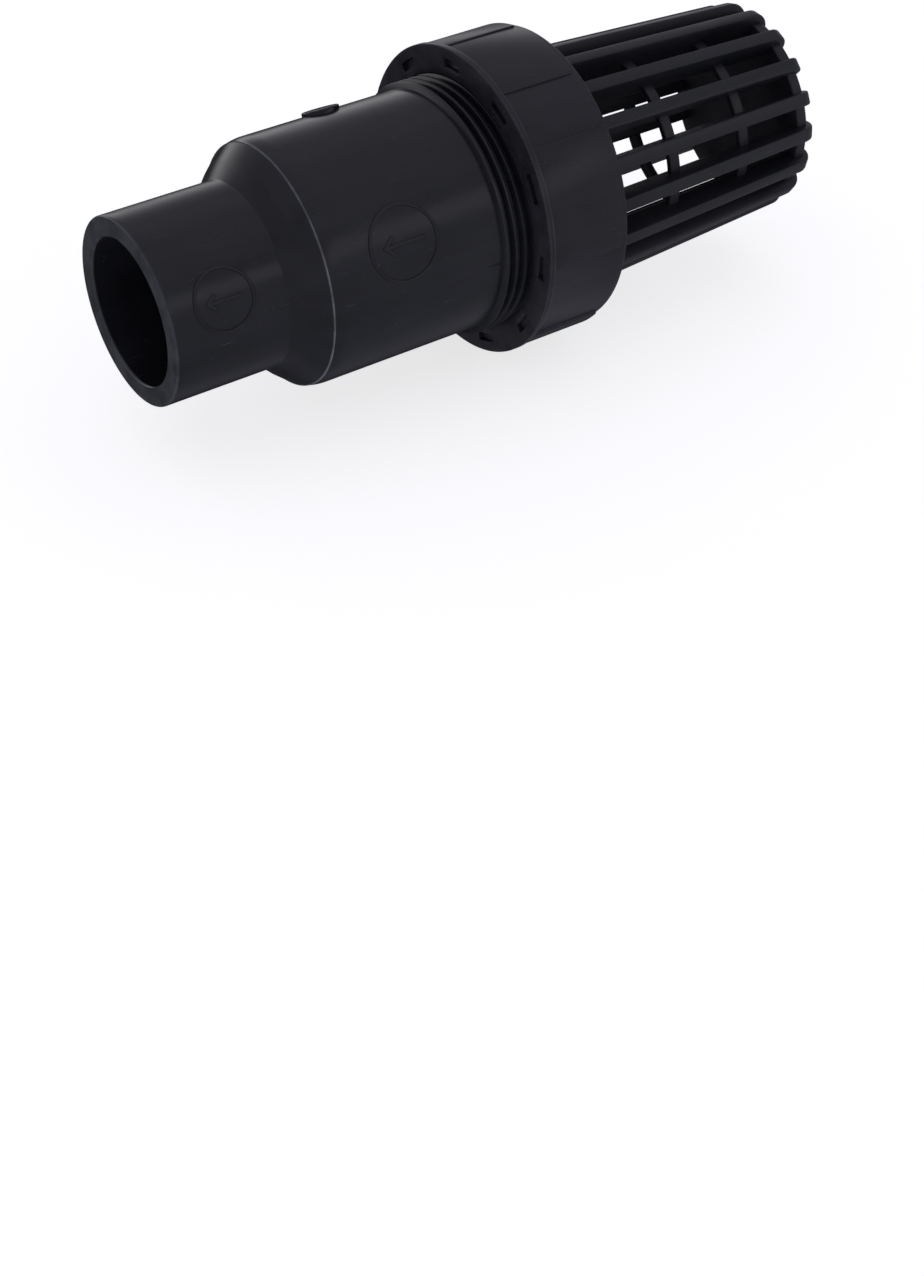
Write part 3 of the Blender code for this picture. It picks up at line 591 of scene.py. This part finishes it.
def makeNut(shape):
    low = shape["radius"] - shape["gripDrop"]
    rim = shape["start"] + shape["rimWidth"]
    line = [(shape["start"], shape["pocketInner"]), (shape["start"], shape["pocketOuter"]),
            (shape["start"], shape["radius"]), (rim, shape["radius"]), (rim, low), (shape["padEnd"], low),
            (shape["end"], low), (shape["end"], shape["holeRadius"]),
            (shape["lipStart"], shape["holeRadius"]), (shape["lipStart"], shape["cavityRadius"]),
            (shape["threadEnd"], shape["cavityRadius"]), (shape["threadEnd"], shape["minorRadius"]),
            (shape["start"] + 0.5 * (shape["mouthRadius"] - shape["minorRadius"]), shape["minorRadius"]),
            (shape["start"], shape["mouthRadius"])]
    nut = turned("union_nut_moulding", line, columns)
    step = 360 / columns
    nut.data.transform(turnMatrix((shape["gripCentre"] + 0.5 * step) % step))
    bpy.ops.object.mode_set(mode="EDIT")
    bpy.ops.mesh.select_all(action="DESELECT")

    def gripFace(inside):
        def test(face):
            x, radius, angle = polar(face.calc_center_median())
            onSide = rim < x < shape["padEnd"] and abs(radius - low) < 0.05
            if not onSide:
                return False
            off = angleFrom(angle, shape["gripCentre"])
            return any(inside(o) for o in (off, angleFrom(off, 180)))
        return test

    def inBand(off):
        return any(first < off < last for first, last in shape["bands"])

    def inPad(off):
        return shape["pad"][0] < off < shape["pad"][1]

    for inside, rise in ((inBand, shape["bandRise"]), (inPad, shape["padRise"])):
        pick(nut, "FACE", gripFace(inside))
        bpy.ops.mesh.extrude_region_move()
        grow = (low + rise) / low
        bpy.ops.transform.resize(value=(1, grow, grow), center_override=axisPoint)

    pick(nut, "EDGE", lambda e: edgeAt(shape["start"], shape["radius"])(e) or edgeAt(rim, shape["radius"])(e))
    bevelPicked(shape["rimRound"], 4)
    pick(nut, "EDGE", edgeAt(shape["end"], low))
    bevelPicked(shape["endRound"], 3)

    def pocketFace(face):
        x, radius, angle = polar(face.calc_center_median())
        if abs(x - shape["start"]) > 0.05 or not shape["pocketInner"] < radius < shape["pocketOuter"]:
            return False
        gap = 360 / shape["pockets"]
        off = (angle - shape["pocketPhase"] + 0.5 * gap) % gap - 0.5 * gap
        return abs(off) < 0.5 * shape["pocketArc"]

    pick(nut, "FACE", pocketFace)
    bpy.ops.mesh.extrude_region_move(TRANSFORM_OT_translate={"value": (shape["pocketDepth"] * mm, 0, 0)})
    softenEdges(nut, shape["edgeRound"], 2)
    root = shape["minorRadius"] - shape["threadSink"]
    crest = bodyShape["threadCrest"] + threadShape["radialGap"]
    halfRoot, halfCrest = toothWidths(root, crest, threadShape["flankGap"])
    startX = threadShape["crestX"] + shape["threadStart"] * threadShape["pitch"]
    tooth = [(startX - halfRoot, root), (startX - halfCrest, crest), (startX + halfCrest, crest),
             (startX + halfRoot, root)]
    cutter = helix("nut_thread_cutter", tooth, shape["threadTurns"], threadShape["crestAngle"] - 180)
    combine(nut, cutter, "DIFFERENCE")
    return nut


nut = makeNut(nutShape)
finishPiece(nut, "nut", "union_nut", nutPlastic)

# the strainer: collar, tapering ribs, two hoops and an end disc
basketShape = {
    "start": 110.0, "end": 176.6, "baseRadius": 29.0, "tipRadius": 25.4, "collar": 3.2,
    "sleeveStart": 105.6, "sleeveBore": 24.3, "sleeveRadius": 26.3,
    "ribs": 18, "ribPhase": 4.2, "ribWidth": 3.3, "ribDepth": 6.4, "ribTipDepth": 5.2, "ribRound": 0.5,
    "tipRound": 3.8, "tipUnderRound": 0.5,
    "hoops": (133.2, 155.2), "hoopWidth": 3.0, "hoopRecess": 3.6, "hoopThickness": 1.7,
    "discStart": 171.6, "discEnd": 174.6, "discRecess": 2.0, "dishRim": 3.5, "dishDepth": 0.5,
    "pipRadius": 3.2, "pipDrop": 0.1,
}


def basketRadius(x):
    share = (x - basketShape["start"]) / (basketShape["end"] - basketShape["start"])
    return basketShape["baseRadius"] + share * (basketShape["tipRadius"] - basketShape["baseRadius"])


def makeRib(shape):
    low = shape["start"] + 0.5 * shape["collar"]
    high = shape["end"]
    length = high - low
    middle = spot(0.5 * (low + high), basketRadius(low) - 0.5 * shape["ribDepth"], 0)
    rib = startPiece("rib", bpy.ops.mesh.primitive_cube_add, size=1, location=middle,
                     scale=(length * mm, shape["ribWidth"] * mm, shape["ribDepth"] * mm))
    pick(rib, "VERT", lambda v: fromMouth(v.co.x) > high - 1)
    bpy.ops.transform.translate(value=(0, 0, (basketRadius(high) - basketRadius(low)) * mm))
    inside = axisZ + (basketRadius(high) - 1) * mm
    pick(rib, "VERT", lambda v: fromMouth(v.co.x) > high - 1 and v.co.z < inside)
    bpy.ops.transform.translate(value=(0, 0, (shape["ribDepth"] - shape["ribTipDepth"]) * mm))

    def tipEdge(outer):
        def test(edge):
            ends = [v.co for v in edge.verts]
            atTip = all(fromMouth(e.x) > high - 0.1 for e in ends)
            tip = basketRadius(high) - (0 if outer else shape["ribTipDepth"])
            return atTip and all(abs((e.z - axisZ) / mm - tip) < 0.1 for e in ends)
        return test

    pick(rib, "EDGE", tipEdge(True))
    bevelPicked(shape["tipRound"], 8)
    pick(rib, "EDGE", tipEdge(False))
    bevelPicked(shape["tipUnderRound"], 3)
    softenEdges(rib, shape["ribRound"], 3, 50)
    rib.data.transform(turnMatrix(shape["ribPhase"]))
    return rib


def turnedCopies(piece, count):
    copies = [piece]
    for i in range(1, count):
        copy = piece.copy()
        copy.data = piece.data.copy()
        copy.data.transform(turnMatrix(360 * i / count))
        bpy.context.collection.objects.link(copy)
        copies.append(copy)
    return copies


def makeBasket(shape):
    collarEnd = shape["start"] + shape["collar"]
    collar = turned("strainer_basket_moulding", rounded([
        (shape["sleeveStart"], shape["sleeveBore"], 0.4), (shape["sleeveStart"], shape["sleeveRadius"], 0.4),
        (shape["start"], shape["sleeveRadius"], 0.2), (shape["start"], shape["baseRadius"], 0.4),
        (collarEnd, basketRadius(collarEnd), 0.4), (collarEnd, shape["sleeveBore"], 0.4)], 3), columns)
    rings = []
    for place in shape["hoops"]:
        low = place - 0.5 * shape["hoopWidth"]
        high = place + 0.5 * shape["hoopWidth"]
        outer = basketRadius(place) - shape["hoopRecess"]
        inner = outer - shape["hoopThickness"]
        rings.append(turned("hoop", rounded([(low, inner, 0.5), (low, outer, 0.5), (high, outer, 0.5),
                                             (high, inner, 0.5)], 3), columns))
    radius = basketRadius(shape["discEnd"]) - shape["discRecess"]
    rim = radius - shape["dishRim"]
    dish = shape["discEnd"] - shape["dishDepth"]
    pip = shape["discEnd"] - shape["pipDrop"]
    face = rounded([(shape["discStart"], 10, 0), (shape["discStart"], radius, 0.5),
                    (shape["discEnd"], radius, 0.5), (shape["discEnd"], rim, 0.3),
                    (dish, rim - shape["dishDepth"], 0.3), (dish, shape["pipRadius"], 0.3),
                    (pip, shape["pipRadius"] - 0.2, 0.2)], 3)[1:]
    rings.append(turned("disc", [(shape["discStart"], 0)] + face + [(pip, 0)], columns, closed=False))
    ribs = joinPieces("ribs", turnedCopies(makeRib(shape), shape["ribs"]))
    combine(collar, ribs, "UNION")
    combine(collar, joinPieces("rings", rings), "UNION")
    return collar


basket = makeBasket(basketShape)
finishPiece(basket, "inlet_half", "strainer_basket", basketPlastic)

# the seat carrier, clamped by the nut, with the guide for the poppet's stem
carrierShape = {
    "start": 85.3, "radius": 24.3, "seatBore": 16.5, "web": 4.0, "lip": (17.6, 19.0), "lipHeight": 1.0,
    "lipSlope": 0.35,
    "flange": (101.3, 105.3), "flangeRadius": 28.5, "groove": (94.0, 96.3), "grooveFloor": 22.6,
    "outlet": 111.3, "outletRadius": 24.0, "outletBore": 20.5,
    "hub": (87.9, 95.4), "hubRadius": 5.8, "hubBore": 3.1, "arms": 4, "armWidth": 2.4, "armX": (89.5, 95.0),
}


def makeCarrier(shape):
    face, seat = shape["start"], shape["start"] - shape["lipHeight"]
    lipIn, lipOut = shape["lip"]
    grooveLow, grooveHigh = shape["groove"]
    flangeLow, flangeHigh = shape["flange"]
    carrier = turned("seat_carrier_moulding", rounded([
        (face, shape["seatBore"], 0.3), (face, lipIn, 0.1), (seat, lipIn + shape["lipSlope"], 0.25),
        (seat, lipOut - shape["lipSlope"], 0.25), (face, lipOut, 0.1), (face, shape["radius"], 0.6),
        (grooveLow, shape["radius"], 0.15), (grooveLow, shape["grooveFloor"], 0.3),
        (grooveHigh, shape["grooveFloor"], 0.3), (grooveHigh, shape["radius"], 0.15),
        (flangeLow, shape["radius"], 0.3), (flangeLow, shape["flangeRadius"], 0.4),
        (flangeHigh, shape["flangeRadius"], 0.4), (flangeHigh, shape["outletRadius"], 0.4),
        (shape["outlet"], shape["outletRadius"], 0.5), (shape["outlet"], shape["outletBore"], 0.4),
        (shape["hub"][1], shape["outletBore"], 1.5), (face + shape["web"], shape["seatBore"], 1.0)],
        4), columns)
    reach = 0.5 * (shape["outletBore"] + shape["grooveFloor"])
    inner = 0.5 * shape["hubRadius"]
    armLow, armHigh = shape["armX"]
    arm = startPiece("arm", bpy.ops.mesh.primitive_cube_add, size=1,
                     location=spot(0.5 * (armLow + armHigh), 0.5 * (inner + reach), 0),
                     scale=((armHigh - armLow) * mm, shape["armWidth"] * mm, (reach - inner) * mm))
    softenEdges(arm, 0.5, 3)
    arm.data.transform(turnMatrix(180 / shape["arms"]))
    combine(carrier, joinPieces("arms", turnedCopies(arm, shape["arms"])), "UNION")
    hubLow, hubHigh = shape["hub"]
    hub = startPiece("hub", bpy.ops.mesh.primitive_cylinder_add, vertices=96, radius=shape["hubRadius"] * mm,
                     depth=(hubHigh - hubLow) * mm, location=spot(0.5 * (hubLow + hubHigh), 0, 0),
                     rotation=(0, 0.5 * math.pi, 0))
    softenEdges(hub, 0.5, 3)
    combine(carrier, hub, "UNION")
    bore = startPiece("bore", bpy.ops.mesh.primitive_cylinder_add, vertices=96, radius=shape["hubBore"] * mm,
                      depth=(hubHigh - hubLow + 2) * mm, location=spot(0.5 * (hubLow + hubHigh), 0, 0),
                      rotation=(0, 0.5 * math.pi, 0))
    bpy.ops.object.mode_set(mode="OBJECT")
    combine(carrier, bore, "DIFFERENCE")
    return carrier


carrier = makeCarrier(carrierShape)
finishPiece(carrier, "inlet_half", "seat_carrier", innerPlastic)

ringShape = {"x": 95.15, "radius": 23.55, "section": 0.65, "flat": 1.1}


def makeRing(shape):  # an O-ring, squeezed a little flat
    line = [((x - shape["x"]) * shape["flat"] + shape["x"], r)
            for x, r in arc(shape["x"], shape["radius"], shape["section"], 0, 345, 23)]
    return turned("o_ring", line, columns)


finishPiece(makeRing(ringShape), "inlet_half", "spigot_o_ring", rubber, 60)

# the poppet, and what rides on its stem
poppetShape = {
    "front": 78.2, "back": 81.2, "radius": 20.0, "edge": 0.7,
    "steps": ((16.5, 2.2), (12.9, 2.2), (9.0, 5.2), (8.4, 6.6), (5.8, 8.2), (5.2, 9.4)),
    "nubRadius": 2.6, "nubHeight": 11.6, "boss": 8.2, "bossEnd": 84.0, "stem": 3.0,
    "groove": (108.75, 109.85), "neck": 2.3, "end": 111.4, "columns": 160,
}


def makePoppet(shape):  # a stepped dome with a nub, a broad flange, a boss and a stem
    front, back, stem, end = shape["front"], shape["back"], shape["stem"], shape["end"]
    low, high = shape["groove"]
    top = front - shape["nubHeight"]
    nub = [(top, 0)] + arc(top + shape["nubRadius"], 0, shape["nubRadius"], -88, 0, 10)[1:]
    corners = [(top + 3, shape["nubRadius"], 0)]
    corners += [(front - height, radius, 0.45) for radius, height in reversed(shape["steps"])]
    corners += [(front, shape["steps"][0][0] + 0.3, 0.3), (front, shape["radius"], shape["edge"]),
                (back, shape["radius"], 0.3), (back, shape["boss"], 0.3),
                (shape["bossEnd"], shape["boss"], 0.4), (shape["bossEnd"], stem, 0.5),
                (low, stem, 0.1), (low, shape["neck"], 0.1),
                (high, shape["neck"], 0.1), (high, stem, 0.1), (end, stem, 0.5), (end, 1, 0)]
    line = nub + rounded(corners, 4) + [(end, 0)]
    return turned("poppet_moulding", line, shape["columns"], closed=False)


finishPiece(makePoppet(poppetShape), "check_disc", "poppet", innerPlastic, 40)

discShapes = {
    "poppet_seal": {"x": (81.5, 84.0), "inner": 8.5, "outer": 19.6, "round": 0.3},
    "seal_retainer": {"x": (84.3, 85.9), "inner": 3.3, "outer": 12.0, "round": 0.35},
    "spring_washer": {"x": (107.6, 108.6), "inner": 3.3, "outer": 6.0, "round": 0.2},
}


def makeDisc(name, shape):
    low, high = shape["x"]
    line = rounded([(low, shape["inner"], shape["round"]), (low, shape["outer"], shape["round"]),
                    (high, shape["outer"], shape["round"]), (high, shape["inner"], shape["round"])], 4)
    return turned(name, line, smallColumns)


discFinish = (("poppet_seal", "seal_epdm", rubber), ("seal_retainer", "retainer_upvc", innerPlastic),
              ("spring_washer", "washer_steel", steel))
for node, slot, material in discFinish:
    finishPiece(makeDisc(node + "_disc", discShapes[node]), "check_disc", node, material)

clipShape = {"x": (108.9, 109.7), "inner": 2.6, "outer": 4.6, "opening": 60, "columns": 60, "edge": 0.12}


def makeClip(shape):  # a flat split ring with rounded edges
    low, high = shape["x"]
    corners = [(low, shape["inner"]), (low, shape["outer"]), (high, shape["outer"]), (high, shape["inner"])]
    clip = drawLine("split_ring", corners + corners[:1])
    mergePoints()
    bpy.ops.mesh.select_all(action="SELECT")
    bpy.ops.mesh.spin(steps=shape["columns"], angle=math.radians(360 - shape["opening"]), center=axisPoint,
                      axis=(1, 0, 0))
    mergePoints()
    bpy.ops.mesh.select_all(action="SELECT")
    bpy.ops.mesh.fill_holes(sides=0)
    faceOutward()
    softenEdges(clip, shape["edge"], 2)
    clip.data.transform(turnMatrix(0.5 * shape["opening"]))
    return clip


finishPiece(makeClip(clipShape), "check_disc", "stem_clip", steel)

springShape = {"x": (95.7, 107.3), "radius": 4.6, "wire": 0.5, "coils": 5, "closed": 0.9, "perCoil": 40,
               "squashed": 0.31}


def makeSpring(shape):  # a compression coil whose first and last turns lie closed
    low, high = shape["x"][0] + 0.5 * shape["wire"], shape["x"][1] - 0.5 * shape["wire"]
    curve = bpy.data.curves.new("return_coil", "CURVE")
    curve.dimensions = "3D"
    curve.bevel_depth = 0.5 * shape["wire"] * mm
    curve.bevel_resolution = 4
    curve.use_fill_caps = True
    turns = shape["coils"] + 2 * shape["closed"]
    count = round(turns * shape["perCoil"])
    path = curve.splines.new("POLY")
    path.points.add(count)
    span = high - low - 2 * shape["closed"] * shape["wire"]
    for i in range(count + 1):
        turn = turns * i / count
        rise = min(turn, shape["closed"]) + max(0, turn - shape["closed"] - shape["coils"])
        share = min(max((turn - shape["closed"]) / shape["coils"], 0), 1)
        place = spot(low + rise * shape["wire"] + share * span, shape["radius"], 360 * turn)
        path.points[i].co = (*place, 1)
    coil = bpy.data.objects.new("return_coil", curve)
    bpy.context.scene.collection.objects.link(coil)
    activate(coil)
    bpy.ops.object.convert(target="MESH")
    coil = bpy.context.object
    bpy.ops.object.mode_set(mode="EDIT")
    mergePoints()
    faceOutward()
    bpy.ops.object.mode_set(mode="OBJECT")
    return coil


spring = makeSpring(springShape)
finishPiece(spring, "inlet_half", "return_spring", steel)
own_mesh(spring)

cameraPlace = {"azimuth": -34.57, "elevation": 39.92, "distance": 0.5208, "right": 0.01013, "up": -0.09847,
               "aim": 75.95, "lens": 63.17, "sensor": 36}


def direction(place):  # from the object towards a camera or a light
    azimuth = math.radians(place["azimuth"])
    elevation = math.radians(place["elevation"])
    return Vector((math.sin(azimuth) * math.cos(elevation), -math.cos(azimuth) * math.cos(elevation),
                   math.sin(elevation)))


def placeCamera(place):
    azimuth = math.radians(place["azimuth"])
    back = direction(place)
    right = Vector((math.cos(azimuth), math.sin(azimuth), 0))
    up = back.cross(right)
    aim = spot(place["aim"], 0, 0)
    camera = bpy.data.objects.new("camera", bpy.data.cameras.new("camera"))
    bpy.context.scene.collection.objects.link(camera)
    camera.location = aim + back * place["distance"] + right * place["right"] + up * place["up"]
    camera.rotation_euler = (-back).to_track_quat("-Z", "Y").to_euler()
    camera.data.lens = place["lens"]
    camera.data.sensor_width = place["sensor"]
    camera.data.clip_start = 0.01
    bpy.context.scene.camera = camera


placeCamera(cameraPlace)

floorLook = {"size": 6, "colour": "#f6f6f6", "roughness": 0.9, "glow": 0.78}


def makeFloor(look):
    bpy.ops.object.select_all(action="DESELECT")
    bpy.ops.mesh.primitive_plane_add(size=look["size"], location=(0, 0, 0))
    floor = bpy.context.object
    floor.name = "floor"
    material, tree, shader = newMaterial("matt white paper")
    shader.inputs["Base Color"].default_value = toLinear(look["colour"])
    shader.inputs["Roughness"].default_value = look["roughness"]
    shader.inputs["Emission Color"].default_value = toLinear(look["colour"])
    shader.inputs["Emission Strength"].default_value = look["glow"]
    floor.data.materials.append(material)
    floor.visible_glossy = False  # the plastic mirrors the dim studio and not the paper


makeFloor(floorLook)

softboxLook = {"azimuth": 27, "elevation": 25.5, "distance": 1.2, "width": 1.3, "height": 0.3,
               "power": 0.4}


def addSoftbox(look):
    away = direction(look)
    light = bpy.data.lights.new("softbox", "AREA")
    light.shape = "RECTANGLE"
    light.size = look["width"]
    light.size_y = look["height"]
    light.energy = look["power"]
    box = bpy.data.objects.new("softbox", light)
    bpy.context.scene.collection.objects.link(box)
    box.location = Vector((0, 0, axisZ)) + away * look["distance"]
    box.rotation_euler = away.to_track_quat("Z", "Y").to_euler()


addSoftbox(softboxLook)


studioLook = {
    "levels": ((0.0, 0.1), (0.08, 0.14), (0.2, 0.17), (0.4, 0.25), (0.6, 0.26), (0.8, 0.24), (0.88, 0.34),
               (1.0, 0.36)),  # from straight down to straight up
    "tint": (0.99, 0.99, 1.13), "backGlow": 0.82,
    "bandFoot": (-0.2, 0.02), "bandTop": (0.42, -0.08), "bandLeast": 0.06,
    "lowBack": (0.15, 0.55), "lowBackLeast": 0.15,
}


def makeStudio(look):  # a dim studio, brighter overhead and brightest in a band behind the object
    world = bpy.data.worlds.new("studio")
    bpy.context.scene.world = world
    world.use_nodes = True
    tree = world.node_tree
    sky = tree.nodes["Background"]
    coords = addNode(tree, "ShaderNodeTexCoord")
    axes = addNode(tree, "ShaderNodeSeparateXYZ", links={0: (coords, "Generated")})
    height = addNode(tree, "ShaderNodeMapRange", {"From Min": -1.0, "From Max": 1.0}, {"Value": (axes, "Z")})
    ramp = addNode(tree, "ShaderNodeValToRGB", links={"Fac": (height, 0)})
    stops = ramp.color_ramp.elements
    while len(stops) < len(look["levels"]):
        stops.new(0.5)
    for stop, (place, level) in zip(stops, look["levels"]):
        stop.position = place
        stop.color = (*(level * channel for channel in look["tint"]), 1)

    # the glow behind, strongest near the horizon
    behind = addNode(tree, "ShaderNodeMapRange", {"From Min": 0.0, "From Max": 1.0}, {"Value": (axes, "Y")})
    square = addNode(tree, "ShaderNodeMath", {1: 2.0}, {0: (behind, 0)}, operation="POWER")
    above = addNode(tree, "ShaderNodeMapRange",
                    {"From Min": look["bandFoot"][0], "From Max": look["bandFoot"][1]},
                    {"Value": (axes, "Z")}, interpolation_type="SMOOTHSTEP")
    below = addNode(tree, "ShaderNodeMapRange",
                    {"From Min": look["bandTop"][0], "From Max": look["bandTop"][1],
                     "To Min": look["bandLeast"]}, {"Value": (axes, "Z")}, interpolation_type="SMOOTHSTEP")
    band = addNode(tree, "ShaderNodeMath", links={0: (above, 0), 1: (below, 0)}, operation="MULTIPLY")
    glow = addNode(tree, "ShaderNodeMath", links={0: (square, 0), 1: (band, 0)}, operation="MULTIPLY")
    glowLevel = addNode(tree, "ShaderNodeMath", {1: look["backGlow"]}, {0: (glow, 0)}, operation="MULTIPLY")

    # less light from low down at the back
    lowBack = addNode(tree, "ShaderNodeMapRange",
                      {"From Min": look["lowBack"][0], "From Max": look["lowBack"][1], "To Min": 1.0,
                       "To Max": look["lowBackLeast"]}, {"Value": (axes, "Y")},
                      interpolation_type="SMOOTHSTEP")
    shade = addNode(tree, "ShaderNodeMix", {3: 1.0}, {0: (above, 0), 2: (lowBack, 0)})
    ambient = addNode(tree, "ShaderNodeVectorMath", links={0: (ramp, "Color"), "Scale": (shade, 0)},
                      operation="SCALE")
    total = addNode(tree, "ShaderNodeVectorMath", links={0: (ambient, 0), 1: (glowLevel, 0)}, operation="ADD")
    tree.links.new(total.outputs[0], sky.inputs["Color"])


makeStudio(studioLook)
bpy.context.scene.view_settings.view_transform = "Standard"
print("stage ready")
